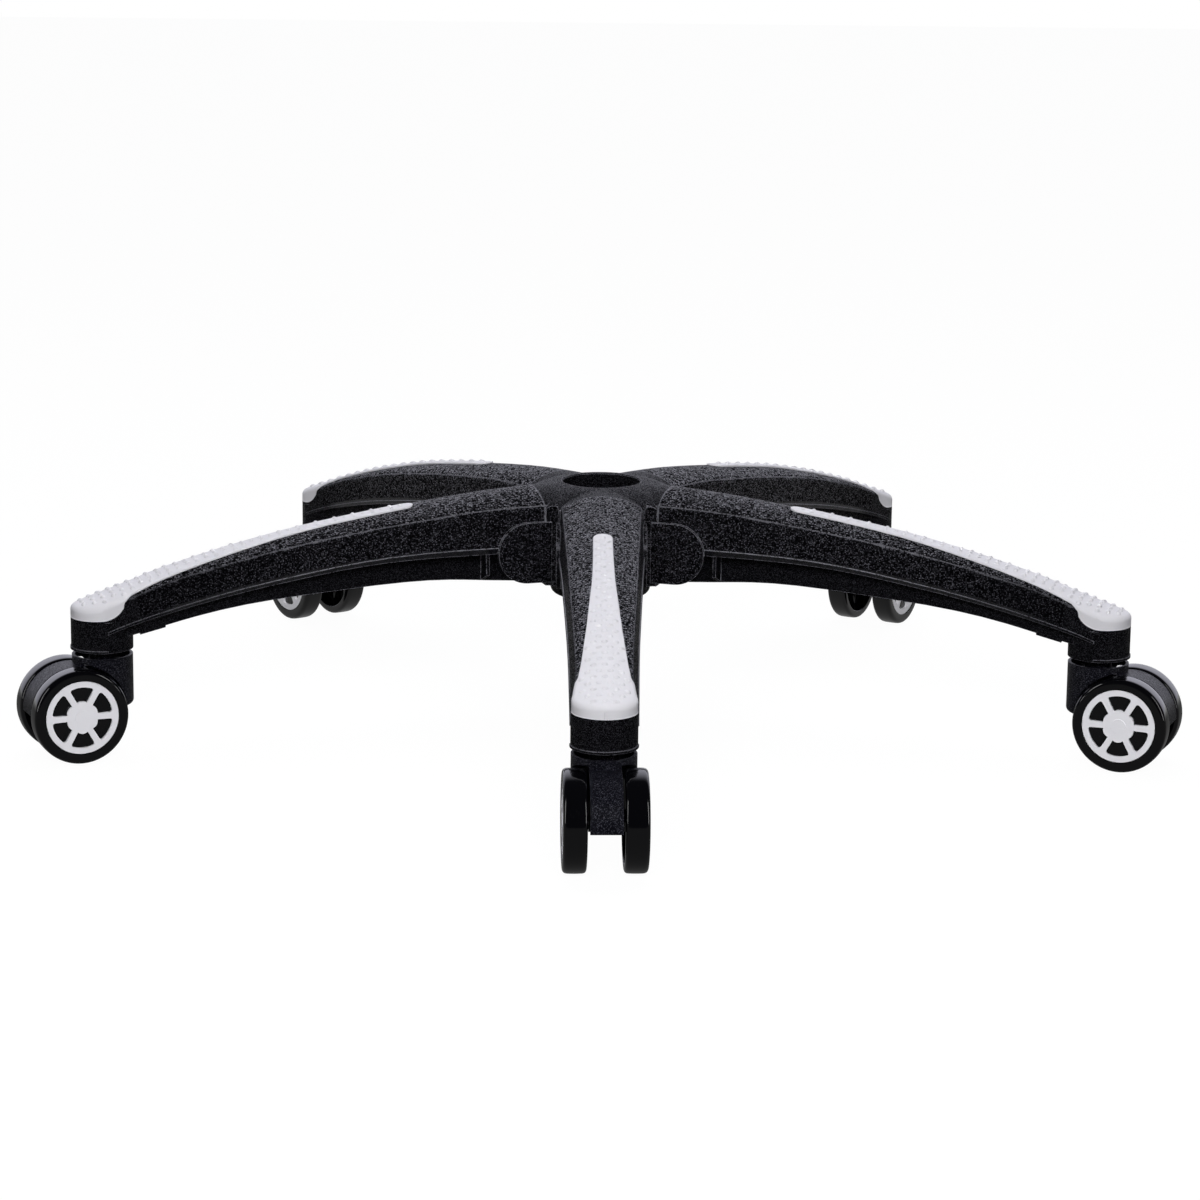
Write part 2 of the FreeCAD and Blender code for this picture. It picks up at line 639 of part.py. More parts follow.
def axle_half_length():
    """The axle ends a little short of the wheel's outer web."""
    return wheel_outer_y - cap_recess - cap_t - axle_end_gap


def caster_axle():
    """Steel pin through the housing's boss, which carries both wheels."""
    half = axle_half_length()
    pin = turned_profile([(0, -half), (axle_r - axle_edge, -half), (axle_r, axle_edge - half),
                          (axle_r, half - axle_edge), (axle_r - axle_edge, half), (0, half)])
    return lying(pin, trail, 0)


def wheel():
    """One wheel on +Y: glossy tread, web near its outer face, hub tube and ribs on the inner side."""
    seat_y = wheel_outer_y - cap_recess - cap_t
    web_y = seat_y - wheel_web_t
    bore_r = axle_r + axle_gap
    seat_r = cap_r + cap_fit
    ring = turned_profile([(bore_r, wheel_hub_start_y), (wheel_hub_r, wheel_hub_start_y),
                           (wheel_hub_r, web_y), (rim_inner_r, web_y), (rim_inner_r, wheel_inner_y),
                           (wheel_r - tread_round, wheel_inner_y), (wheel_r, wheel_inner_y + tread_round),
                           (wheel_r, wheel_outer_y - tread_round), (wheel_r - tread_round, wheel_outer_y),
                           (seat_r, wheel_outer_y), (seat_r, seat_y), (bore_r, seat_y)])
    ribs = []
    for i in range(wheel_rib_count):
        rib = block(wheel_hub_r - rib_overlap, rim_inner_r + rib_overlap, -wheel_rib_t / 2, wheel_rib_t / 2,
                    web_y - wheel_rib_depth, web_y + rib_overlap)
        ribs.append(turned(rib, 360.0 * (i + 0.5) / wheel_rib_count))
    return ring.fuse(ribs).removeSplitter()


def cap_window():
    """One window of the hub cap: a wedge between two spokes of constant width, with rounded corners."""
    apex = spoke_half / sin(radians(180.0 / wheel_rib_count))
    spread = radians(180.0 / wheel_rib_count)
    far = window_outer_r + 4
    points = [Vector(apex, 0, -1), Vector(apex + far * cos(spread), -far * sin(spread), -1),
              Vector(apex + far * cos(spread), far * sin(spread), -1)]
    wedge = Part.Face(Part.makePolygon(points + points[:1])).extrude(up * (cap_t + 2))
    window = wedge.common(tube(window_inner_r, window_outer_r, -1, cap_t + 1))
    upright = [edge for edge in window.Edges if edge.BoundBox.ZLength > cap_t
               and edge.BoundBox.XMin > window_inner_r + 2]
    window = window.makeFillet(window_round, upright)
    lobe = cylinder(lobe_r, -2, cap_t + 2, (lobe_reach_r - lobe_r, 0))
    return window.cut(lobe)


def hub_cap():
    """White cap on +Y with six windows, a lobed middle and a small raised disc."""
    window = cap_window()
    windows = [turned(window, 360.0 * i / wheel_rib_count) for i in range(wheel_rib_count)]
    cap = cylinder(cap_r, 0, cap_t).cut(windows).fuse(cylinder(cap_disc_r, 0, cap_t + cap_disc_h))
    cap.translate(Vector(0, 0, wheel_outer_y - cap_recess - cap_t))
    return cap


def on_wheel_side(shape, outward, i):
    """Place a wheel piece, made along +Z, on the +Y or -Y end of the axle, rolled to its rest angle."""
    copy = turned(shape, 90 + roll_deg[i] * outward)
    copy.rotate(Vector(0, 0, 0), Vector(1, 0, 0), -90 * outward)
    copy.translate(Vector(trail, 0, axle_z))
    return copy


def at_caster(shape, i):
    """Move a piece made round the stem's axis to arm i, with that caster's swivel."""
    arm = first_arm_deg + 360.0 * i / arm_count
    copy = turned(shape, arm + swivel_deg[i])
    copy.translate(Vector(cos(radians(arm)), sin(radians(arm)), 0) * stem_circle_r)
    return copy


def save(name, shape):
    """Lower a piece so that the bore's mouth is the origin, check it and write its file."""
    piece = shape.copy()
    piece.translate(Vector(0, 0, -mouth_z))
    solids = piece.Solids
    print(name, "solids", len(solids), "valid", piece.isValid(), "volume", round(piece.Volume, 1))
    final = solids[0] if len(solids) == 1 else piece
    final.exportStep("parts/" + name + ".step")


os.makedirs("parts", exist_ok=True)
pad, seat = foot_pad_and_seat()
save("star_base", star_base(seat))
stem, ring, housing, axle = caster_stem(), grip_ring(), caster_housing(), caster_axle()
one_wheel, one_cap = wheel(), hub_cap()
for i in range(arm_count):
    number = str(i + 1)
    arm = first_arm_deg + 360.0 * i / arm_count
    save("foot_pad_" + number, turned(pad, arm))
    save("caster_stem_" + number, at_caster(stem, i))
    save("grip_ring_" + number, at_caster(ring, i))
    save("caster_housing_" + number, at_caster(housing, i))
    save("caster_axle_" + number, at_caster(axle, i))
    for letter, outward in (("a", 1), ("b", -1)):
        save("wheel_" + number + letter, at_caster(on_wheel_side(one_wheel, outward, i), i))
        save("hub_cap_" + number + letter, at_caster(on_wheel_side(one_cap, outward, i), i))
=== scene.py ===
# %% [markdown]
# # Five star base of an office chair
# The base is one black nylon moulding with five arms. A white pad with rows of small studs lies on
# each arm, and a twin-wheel caster hangs under each tip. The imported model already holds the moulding,
# the caster housings and the steel pins at their real size, so this script keeps them, gives them
# their finish, and models the pads, wheels and caps again with rounded edges and studs.

import json
import math

import bpy
import numpy as np
from mathutils import Matrix, Vector


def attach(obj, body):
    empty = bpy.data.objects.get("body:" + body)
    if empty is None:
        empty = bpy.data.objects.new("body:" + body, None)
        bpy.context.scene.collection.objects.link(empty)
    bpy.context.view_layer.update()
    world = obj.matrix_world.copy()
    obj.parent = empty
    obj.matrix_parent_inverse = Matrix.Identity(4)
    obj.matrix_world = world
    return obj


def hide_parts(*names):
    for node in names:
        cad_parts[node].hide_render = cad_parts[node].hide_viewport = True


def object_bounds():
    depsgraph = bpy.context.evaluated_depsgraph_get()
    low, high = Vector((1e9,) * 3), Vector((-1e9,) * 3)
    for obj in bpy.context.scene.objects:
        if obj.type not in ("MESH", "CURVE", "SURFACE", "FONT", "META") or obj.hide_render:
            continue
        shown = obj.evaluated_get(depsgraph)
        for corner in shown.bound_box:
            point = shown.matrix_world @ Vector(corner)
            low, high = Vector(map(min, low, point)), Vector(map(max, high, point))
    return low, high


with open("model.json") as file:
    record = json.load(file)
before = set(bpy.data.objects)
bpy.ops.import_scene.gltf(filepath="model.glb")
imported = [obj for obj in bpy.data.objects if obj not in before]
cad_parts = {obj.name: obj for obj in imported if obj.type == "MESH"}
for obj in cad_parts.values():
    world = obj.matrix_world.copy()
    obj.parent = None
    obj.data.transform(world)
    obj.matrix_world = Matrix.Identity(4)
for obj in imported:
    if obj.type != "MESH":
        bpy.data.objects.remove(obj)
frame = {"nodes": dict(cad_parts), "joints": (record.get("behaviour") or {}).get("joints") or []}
packed_low, packed_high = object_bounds()
node = frame["nodes"]

# %% [markdown]
# ## Heights
# The origin is the mouth of the gas lift bore. The shapes below are easier to read as heights above
# the floor, in millimetres, because that is how such a base is measured on a bench. One function
# turns a point on an arm, given by its distance from the hub, its sideways place and its height,
# into the frame.

# %% From an arm's own millimetres to the frame
mm = 0.001
floor_z = packed_low.z
arm_count = 5
first_arm = math.radians(-90.0)
stem_circle_r = 327.5


def arm_angle(k):
    """Direction of arm k, counted from the one that points at the viewer, anticlockwise from above."""
    return first_arm + 2 * math.pi * k / arm_count


def placed(points, angle):
    """Turn an (n, 3) array about the vertical through the origin and lift it off the floor."""
    c, s = math.cos(angle), math.sin(angle)
    x = points[:, 0] * c - points[:, 1] * s
    y = points[:, 0] * s + points[:, 1] * c
    return np.stack([x * mm, y * mm, points[:, 2] * mm + floor_z], axis=1)


print("floor at", round(floor_z, 4))

# %% [markdown]
# ## Camera
# The photograph was taken from about 2.4 m away and 0.63 m above the floor with a long lens, so the
# star looks flat and the near caster is only a little larger than the far ones. The lens, place and
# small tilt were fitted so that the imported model's wheels, stems and bore land where it shows them.

# %% Camera at the photograph's viewpoint
camera_place = Vector((-23.9, -2395.86, 629.5)) * mm
focal_pixels = 3778.17
picture_pixels = 1200.0
sensor_mm = 36.0
pan = math.radians(0.571)
down = math.radians(12.973)
roll = math.radians(0.636)

ahead = Vector((math.sin(pan) * math.cos(down), math.cos(pan) * math.cos(down), -math.sin(down)))
level_right = Vector((math.cos(pan), -math.sin(pan), 0.0))
level_up = level_right.cross(ahead)
right = level_right * math.cos(roll) + level_up * math.sin(roll)
upward = level_up * math.cos(roll) - level_right * math.sin(roll)
turn = Matrix((right, upward, -ahead)).transposed()

camera_data = bpy.data.cameras.new("camera")
camera_data.sensor_width = sensor_mm
camera_data.lens = focal_pixels / picture_pixels * sensor_mm
camera_data.clip_end = 50.0
camera = bpy.data.objects.new("camera", camera_data)
bpy.context.scene.collection.objects.link(camera)
camera.matrix_world = Matrix.Translation(camera_place + Vector((0, 0, floor_z))) @ turn.to_4x4()
bpy.context.scene.camera = camera
print("lens", round(camera_data.lens, 2), "mm")

# %% [markdown]
# ## Light and background
# The photograph has the light of a product table. A white sweep stands behind and over the part, and
# the camera's side of the room is dark, so the nylon shines where it looks back or up and stays black
# where it faces the viewer. A tall soft box on either side draws the thin upright streaks on the
# wheels. The world holds the sweep: its brightness depends on how far back and up a direction points.

# %% World
scene = bpy.context.scene
scene.view_settings.view_transform = "Standard"

world = bpy.data.worlds.new("studio")
scene.world = world
world.use_nodes = True
wt = world.node_tree
wt.nodes.clear()
world_out = wt.nodes.new("ShaderNodeOutputWorld")
direction = wt.nodes.new("ShaderNodeTexCoord").outputs["Generated"]
backward = wt.nodes.new("ShaderNodeVectorMath")
backward.operation = "DOT_PRODUCT"
backward.inputs[1].default_value = (0.0, 1.0, 0.15)
sweep = wt.nodes.new("ShaderNodeValToRGB")
sweep.color_ramp.interpolation = "EASE"
stops = sweep.color_ramp.elements
while len(stops) < 4:
    stops.new(0.5)
for stop, start, level in zip(stops, (0.50, 0.86, 0.93, 1.0), (0.03, 1.25, 1.25, 0.95)):
    stop.position = start
    stop.color = (level, level, level * 1.14, 1.0)
room = wt.nodes.new("ShaderNodeBackground")
seen = wt.nodes.new("ShaderNodeBackground")
seen.inputs["Color"].default_value = (1.0, 1.0, 1.0, 1.0)
ray = wt.nodes.new("ShaderNodeLightPath")
pick = wt.nodes.new("ShaderNodeMixShader")
wt.links.new(direction, backward.inputs[0])
wt.links.new(backward.outputs["Value"], sweep.inputs["Fac"])
wt.links.new(sweep.outputs["Color"], room.inputs["Color"])
wt.links.new(ray.outputs["Is Camera Ray"], pick.inputs["Fac"])
wt.links.new(room.outputs[0], pick.inputs[1])
wt.links.new(seen.outputs[0], pick.inputs[2])
wt.links.new(pick.outputs[0], world_out.inputs["Surface"])
print("world ready")

# %% [markdown]
# The lamps carry most of the light on the white parts. The top and front boxes only fill: gloss
# doesn't see them, so the treads keep their deep black. The side boxes do the opposite, and draw
# the streaks without lighting the walls of the arms.

# %% Soft boxes
def soft_box(name, place, target, width, height, power, shines):
    """Rectangular lamp at a place, facing a target; it is seen by gloss alone, or fills and isn't."""
    lamp = bpy.data.lights.new(name, "AREA")
    lamp.shape = "RECTANGLE"
    lamp.size = width
    lamp.size_y = height
    lamp.energy = power
    holder = bpy.data.objects.new(name, lamp)
    holder.location = place
    holder.rotation_euler = (Vector(target) - Vector(place)).to_track_quat("-Z", "Y").to_euler()
    holder.visible_glossy = shines
    holder.visible_diffuse = not shines
    scene.collection.objects.link(holder)


soft_box("top_box", (0.0, 0.3, 1.5), (0, 0, 0), 2.0, 1.2, 13.6, shines=False)
soft_box("left_box", (-1.6, -0.95, 0.55), (0, 0, -0.05), 0.28, 1.3, 7, shines=True)
soft_box("right_box", (1.6, -0.95, 0.55), (0, 0, -0.05), 0.28, 1.3, 7, shines=True)
soft_box("front_box", (0.0, -2.2, 1.0), (0, 0, -0.1), 1.4, 0.6, 44.5, shines=False)
print("lamps ready")

# %% [markdown]
# The floor is far wider than the part and ends beyond the camera's view. To the camera it is white,
# a little darker where the part keeps the light off it. To everything else it is a table that is dim
# in front and grows as bright as the sweep behind the part, so only what looks back shines.

# %% Pale floor
floor_mesh = bpy.data.meshes.new("floor")
reach = 6.0
floor_mesh.from_pydata([(-reach, -reach, floor_z), (reach, -reach, floor_z), (reach, reach, floor_z),
                        (-reach, reach, floor_z)], [], [(0, 1, 2, 3)])
floor = bpy.data.objects.new("floor", floor_mesh)
scene.collection.objects.link(floor)

floor_look = bpy.data.materials.new("pale_floor")
floor_look.use_nodes = True
ft = floor_look.node_tree
ft.nodes.clear()
floor_out = ft.nodes.new("ShaderNodeOutputMaterial")
floor_ray = ft.nodes.new("ShaderNodeLightPath")
plain = ft.nodes.new("ShaderNodeBsdfDiffuse")
plain.inputs["Color"].default_value = (0.86, 0.86, 0.86, 1.0)
white = ft.nodes.new("ShaderNodeEmission")
white.inputs["Strength"].default_value = 1.02
seen_mix = ft.nodes.new("ShaderNodeMixShader")
seen_mix.inputs["Fac"].default_value = 0.95
floor_place = ft.nodes.new("ShaderNodeSeparateXYZ")
behind = ft.nodes.new("ShaderNodeMapRange")
behind.inputs["From Min"].default_value = 0.10
behind.inputs["From Max"].default_value = 0.80
behind.inputs["To Min"].default_value = 0.14
behind.inputs["To Max"].default_value = 0.80
table = ft.nodes.new("ShaderNodeEmission")
floor_mix = ft.nodes.new("ShaderNodeMixShader")
ft.links.new(plain.outputs[0], seen_mix.inputs[1])
ft.links.new(white.outputs[0], seen_mix.inputs[2])
ft.links.new(ft.nodes.new("ShaderNodeTexCoord").outputs["Object"], floor_place.inputs[0])
ft.links.new(floor_place.outputs["Y"], behind.inputs["Value"])
ft.links.new(behind.outputs["Result"], table.inputs["Strength"])
ft.links.new(floor_ray.outputs["Is Camera Ray"], floor_mix.inputs["Fac"])
ft.links.new(table.outputs[0], floor_mix.inputs[1])
ft.links.new(seen_mix.outputs[0], floor_mix.inputs[2])
ft.links.new(floor_mix.outputs[0], floor_out.inputs["Surface"])
floor_mesh.materials.append(floor_look)
print("floor ready")

# %% [markdown]
# ## Finishes
# Black nylon of this kind is moulded in a tool with a spark-eroded surface, which leaves thousands of
# tiny bumps whose tops catch the light as fine sparkles. Each finish is one principled shader with a
# grain in its bump, and on the black nylon the same grain drives shine and colour too, the colour as
# painted glints on the real grain. It is coarse on the arms, finer on the hub's dome, the lip and the
# bosses, and finest on the caster housings.

# %% Helpers for node materials
edge_rounding = 0.7 * mm


def new_look(name, colour, roughness, specular=0.5):
    """A material with one principled shader; returns the material, its tree and the shader."""
    look = bpy.data.materials.new(name)
    look.use_nodes = True
    shader = look.node_tree.nodes["Principled BSDF"]
    shader.inputs["Base Color"].default_value = (*colour, 1.0)
    shader.inputs["Roughness"].default_value = roughness
    shader.inputs["Specular IOR Level"].default_value = specular
    return look, look.node_tree, shader


def calc(tree, operation, a, b=None, c=None):
    """A math node on sockets or numbers; returns its output."""
    step = tree.nodes.new("ShaderNodeMath")
    step.operation = operation
    for i, value in enumerate((a, b, c)):
        if value is None:
            continue
        if isinstance(value, (int, float)):
            step.inputs[i].default_value = value
        else:
            tree.links.new(value, step.inputs[i])
    return step.outputs[0]


def product(tree, result, *others):
    """Product of two or more sockets or numbers."""
    for other in others:
        result = calc(tree, "MULTIPLY", result, other)
    return result


def blend(tree, factor, low, high, kind="FLOAT"):
    """From low to high by a factor socket; they are sockets, or plain colours where the kind is RGBA."""
    mix = tree.nodes.new("ShaderNodeMix")
    mix.data_type = kind
    tree.links.new(factor, mix.inputs["Factor"])
    for name, value in (("A", low), ("B", high)):
        if isinstance(value, tuple):
            mix.inputs[name].default_value = (*value, 1.0)
        else:
            tree.links.new(value, mix.inputs[name])
    return mix.outputs["Result"]


def noise(tree, coordinates, scale, detail=2.0, rough=0.5):
    """Noise on the object's own coordinates; scale is in lumps for each metre."""
    grain = tree.nodes.new("ShaderNodeTexNoise")
    grain.inputs["Scale"].default_value = scale
    grain.inputs["Detail"].default_value = detail
    grain.inputs["Roughness"].default_value = rough
    tree.links.new(coordinates, grain.inputs["Vector"])
    return grain.outputs["Fac"]


def cells(tree, coordinates, scale):
    """Grain of round cells, scale in cells for each metre; each has its own height and a soft border."""
    pattern = tree.nodes.new("ShaderNodeTexVoronoi")
    pattern.inputs["Scale"].default_value = scale
    tree.links.new(coordinates, pattern.inputs["Vector"])
    level = tree.nodes.new("ShaderNodeSeparateColor")
    tree.links.new(pattern.outputs["Color"], level.inputs[0])
    fall = tree.nodes.new("ShaderNodeMapRange")
    fall.interpolation_type = "SMOOTHSTEP"
    fall.inputs["From Min"].default_value = 0.80
    fall.inputs["From Max"].default_value = 0.25
    tree.links.new(pattern.outputs["Distance"], fall.inputs["Value"])
    return calc(tree, "MULTIPLY", level.outputs["Red"], fall.outputs["Result"])


def object_coordinates(tree):
    """The object's own coordinates, in metres."""
    return tree.nodes.new("ShaderNodeTexCoord").outputs["Object"]


def add_bump(tree, shader, height, strength, distance, under=None):
    """Bump from a height socket, over another normal where one is given."""
    bump = tree.nodes.new("ShaderNodeBump")
    bump.inputs["Strength"].default_value = strength
    bump.inputs["Distance"].default_value = distance
    tree.links.new(height, bump.inputs["Height"])
    if under is not None:
        tree.links.new(under, bump.inputs["Normal"])
    tree.links.new(bump.outputs["Normal"], shader.inputs["Normal"])


def soft_edges(tree, radius):
    """Shading normal with every sharp edge rounded by this radius, in metres."""
    edge = tree.nodes.new("ShaderNodeBevel")
    edge.samples = 6
    edge.inputs["Radius"].default_value = radius
    return edge.outputs["Normal"]


def ramp(tree, value, low, high):
    """0 below low, 1 above high, smooth between."""
    step = tree.nodes.new("ShaderNodeMapRange")
    step.interpolation_type = "SMOOTHSTEP"
    step.inputs["From Min"].default_value = low
    step.inputs["From Max"].default_value = high
    tree.links.new(value, step.inputs["Value"])
    return step.outputs["Result"]


print("helpers ready")

# %% [markdown]
# ## Star moulding
# The grain changes along lines that the tool maker chose. The hub's dome ends in a straight line
# across each arm, 46.5 mm from the middle. The dome, the lip along the lower edge of each arm, the
# ribs and the boss are smoother, and the rounded plates beside the hub are coarse again. All five
# arms share one rule, so the shader folds the plane: it takes the direction of a point round the hub,
# wraps it to one arm, and works with the distance along that arm and across it.

# %% Folded coordinates and zones of the star moulding
black_nylon, tree, shader = new_look("black_nylon", (0.005, 0.005, 0.006), 0.44)
place = object_coordinates(tree)
split = tree.nodes.new("ShaderNodeSeparateXYZ")
tree.links.new(place, split.inputs[0])
x, y, z = split.outputs

# Zone limits in metres. A pair is where the soft edge of a zone begins and where it ends.
dome_end = 0.0465
patch_top = 137.5 * mm + floor_z
patch_side = (0.0276, 0.0279)
patch_end = (0.082, 0.080)
boss_start = (0.312, 0.306)
foot_start = 118.3 * mm + floor_z
foot_level_end = 0.110
lip_top = (0.0034, 0.0042)
lip_foot = (-0.0008, 0.0)
lip_start = (0.082, 0.086)
lip_end = (0.300, 0.280)
line_half = 0.0003
arm_step = 2 * math.pi / arm_count
around = calc(tree, "ARCTAN2", y, x)
folded = calc(tree, "WRAP", calc(tree, "SUBTRACT", around, first_arm), arm_step / 2, -arm_step / 2)
out = calc(tree, "SQRT", calc(tree, "MULTIPLY_ADD", x, x, product(tree, y, y)))
along = product(tree, out, calc(tree, "COSINE", folded))
across = calc(tree, "ABSOLUTE", product(tree, out, calc(tree, "SINE", folded)))

# The lower edge of the side walls is level near the hub and then falls with the distance along the arm.
past_hub = calc(tree, "MAXIMUM", calc(tree, "SUBTRACT", along, foot_level_end), 0.0)
foot_fall = product(tree, calc(tree, "POWER", past_hub, 1.75), 0.55)
above_foot = calc(tree, "ADD", calc(tree, "SUBTRACT", z, foot_start), foot_fall)
past_dome = calc(tree, "SUBTRACT", along, dome_end)
off_dome = ramp(tree, past_dome, -0.0002, 0.0002)
off_lip = ramp(tree, above_foot, *lip_top)
off_boss = ramp(tree, along, *boss_start)
on_patch = product(tree, ramp(tree, across, *patch_side), ramp(tree, along, *patch_end))
lip_band = product(tree, ramp(tree, above_foot, *lip_foot), ramp(tree, above_foot, *reversed(lip_top)))
lip_reach = product(tree, ramp(tree, along, *lip_start), ramp(tree, along, *lip_end))
on_lip = product(tree, lip_band, lip_reach)
arm_zone = product(tree, off_dome, off_lip, off_boss)
coarse_zone = calc(tree, "MAXIMUM", arm_zone, on_patch)
print("zones ready")

# %% [markdown]
# Each bump of the grain is about a millimetre wide on the walls and a third wider on the tops, which
# are seen so flat that finer grain would blend into grey. The high bumps are shinier than the low ones
# and painted paler, which is a painted glint on the real grain and is what makes the surface sparkle.
# The painted glints are fainter on the walls than on the tops, and on the walls they fade towards the
# tip. Moulded edges catch the light as thin pale lines, which are painted highlights: two masks find
# them, one where the rounded normal leaves the true one, and one where the surface turns from the roof
# into a side wall, and a third mask paints a pale line where the dome ends.

# %% Spark grain, painted glints and painted edge highlights of the star moulding
wall_cells = 1180.0
top_cells = 860.0
fine_cells = 2200.0

rounded = soft_edges(tree, edge_rounding)
surface = tree.nodes.new("ShaderNodeNewGeometry")
facing = tree.nodes.new("ShaderNodeVectorMath")
facing.operation = "DOT_PRODUCT"
tree.links.new(rounded, facing.inputs[0])
tree.links.new(surface.outputs["Normal"], facing.inputs[1])
sharp_edge_highlight = ramp(tree, facing.outputs["Value"], 0.995, 0.90)
upright = tree.nodes.new("ShaderNodeSeparateXYZ")
tree.links.new(surface.outputs["Normal"], upright.inputs[0])
turned_in = ramp(tree, upright.outputs[2], 0.42, 0.52)
turned_out = ramp(tree, upright.outputs[2], 0.70, 0.60)
shoulder_highlight = product(tree, turned_in, turned_out, 0.40)
above_patch = ramp(tree, z, patch_top - line_half, patch_top + line_half)
dome_line = ramp(tree, calc(tree, "ABSOLUTE", past_dome), 2 * line_half, line_half)
zone_edge_highlight = product(tree, dome_line, above_patch, 0.4)

flat_share = ramp(tree, upright.outputs[2], 0.45, 0.70)
coarse = blend(tree, flat_share, cells(tree, place, wall_cells), cells(tree, place, top_cells))
fine = cells(tree, place, fine_cells)
height = calc(tree, "MULTIPLY_ADD", coarse, coarse_zone, product(tree, fine, 0.30))
add_bump(tree, shader, height, 0.7, 0.0005, rounded)

# Painted glints: the grain's high bumps are painted paler, fully on the tops, less on the walls and least
# on the walls towards the tip.
near_hub = ramp(tree, along, 0.30, 0.18)
wall_glint_fade = calc(tree, "MAXIMUM", flat_share, calc(tree, "MULTIPLY_ADD", near_hub, 0.50, 0.36))
coarse_glints = product(tree, calc(tree, "POWER", coarse, 2.1), wall_glint_fade)
fine_glints = product(tree, calc(tree, "POWER", fine, 1.6), 0.28)
grain_peaks_and_glints = blend(tree, coarse_zone, fine_glints, coarse_glints)
highlight_dots = ramp(tree, noise(tree, place, 900.0, 1.0), 0.30, 0.50)
# Painted highlights: pale lines along sharp edges, the shoulders and the dome's end, broken into dots and
# fainter towards the tip.
edge_highlights = calc(tree, "MAXIMUM", sharp_edge_highlight, calc(tree, "MAXIMUM", zone_edge_highlight, shoulder_highlight))
highlight_fade = calc(tree, "MULTIPLY_ADD", ramp(tree, along, 0.30, 0.20), 0.55, 0.45)
edge_highlights = product(tree, edge_highlights, highlight_dots, highlight_fade)

# Base colour: near-black grain with painted glints on its peaks, and the painted edge highlights laid over
# it.
grain_glint_tint = blend(tree, grain_peaks_and_glints, (0.0010, 0.0010, 0.0014), (0.110, 0.110, 0.136), "RGBA")
tint_with_edge_highlights = blend(tree, edge_highlights, grain_glint_tint, (0.30, 0.30, 0.34), "RGBA")
tree.links.new(tint_with_edge_highlights, shader.inputs["Base Color"])
tree.links.new(calc(tree, "MULTIPLY_ADD", grain_peaks_and_glints, -0.12, 0.47), shader.inputs["Roughness"])
lip_shine = product(tree, on_lip, 0.35)
peak_shine = product(tree, grain_peaks_and_glints, calc(tree, "MULTIPLY_ADD", flat_share, 1.8, 1.4))
tree.links.new(calc(tree, "ADD", peak_shine, lip_shine), shader.inputs["Specular IOR Level"])


def dress(name, look):
    """Give a carried-over node one material in every slot."""
    mesh = node[name].data
    if not mesh.materials:
        mesh.materials.append(look)
    for i in range(len(mesh.materials)):
        mesh.materials[i] = look


dress("star_base", black_nylon)
print("star moulding dressed")

# %% [markdown]
# ## Caster housings and steel
# The housings are the same nylon with a much finer grain and a bluish cast, and the high points of that
# grain are painted paler, as painted glints. The stems and axles are plated steel that shows only in the
# narrow gap under each boss.

# %% Housing nylon and steel
housing_nylon, tree, shader = new_look("housing_nylon", (0.0055, 0.0055, 0.0085), 0.40)
place = object_coordinates(tree)
grain = noise(tree, place, 1500.0, 1.5, 0.6)
rounded = soft_edges(tree, edge_rounding)
add_bump(tree, shader, grain, 0.8, 0.00016, rounded)
# Painted glints: the high points of the grain are painted paler and made shinier.
speck_glints = calc(tree, "POWER", ramp(tree, grain, 0.44, 0.74), 1.6)
grain_glint_tint = blend(tree, speck_glints, (0.0030, 0.0030, 0.0052), (0.045, 0.046, 0.062), "RGBA")
tree.links.new(grain_glint_tint, shader.inputs["Base Color"])
tree.links.new(calc(tree, "MULTIPLY_ADD", speck_glints, 0.8, 0.08), shader.inputs["Specular IOR Level"])
cloud = noise(tree, place, 60.0)
tree.links.new(calc(tree, "MULTIPLY_ADD", cloud, 0.12, 0.30), shader.inputs["Roughness"])

plated_steel, tree, shader = new_look("plated_steel", (0.42, 0.42, 0.44), 0.28)
shader.inputs["Metallic"].default_value = 1.0
place = object_coordinates(tree)
lathe = tree.nodes.new("ShaderNodeMapping")
lathe.inputs["Scale"].default_value = (1.0, 1.0, 60.0)
tree.links.new(place, lathe.inputs["Vector"])
add_bump(tree, shader, noise(tree, lathe.outputs[0], 90.0, 2.0), 0.12, 0.00004)
stain = noise(tree, place, 220.0)
tree.links.new(calc(tree, "MULTIPLY_ADD", stain, 0.14, 0.22), shader.inputs["Roughness"])

for i in range(1, arm_count + 1):
    dress(f"caster_housing_{i}", housing_nylon)
    for part in ("caster_stem", "grip_ring", "caster_axle"):
        dress(f"{part}_{i}", plated_steel)
print("housings and pins dressed")

# %% [markdown]
# ## Mesh helpers
# Every new surface is a grid of points worked out as whole arrays. One helper makes the faces of a
# grid, and another puts the arrays into a mesh.

# %% Grid faces and mesh objects
def grid_faces(rows, columns, close_rows=False, close_columns=False, start=0):
    """Quads between neighbouring points of a rows by columns grid, wrapped round where asked."""
    i = np.arange(rows if close_rows else rows - 1)
    j = np.arange(columns if close_columns else columns - 1)
    a, b = np.meshgrid(i, j, indexing="ij")
    a2, b2 = (a + 1) % rows, (b + 1) % columns
    quads = np.stack([a * columns + b, a2 * columns + b, a2 * columns + b2, a * columns + b2], axis=-1)
    return quads.reshape(-1, 4) + start


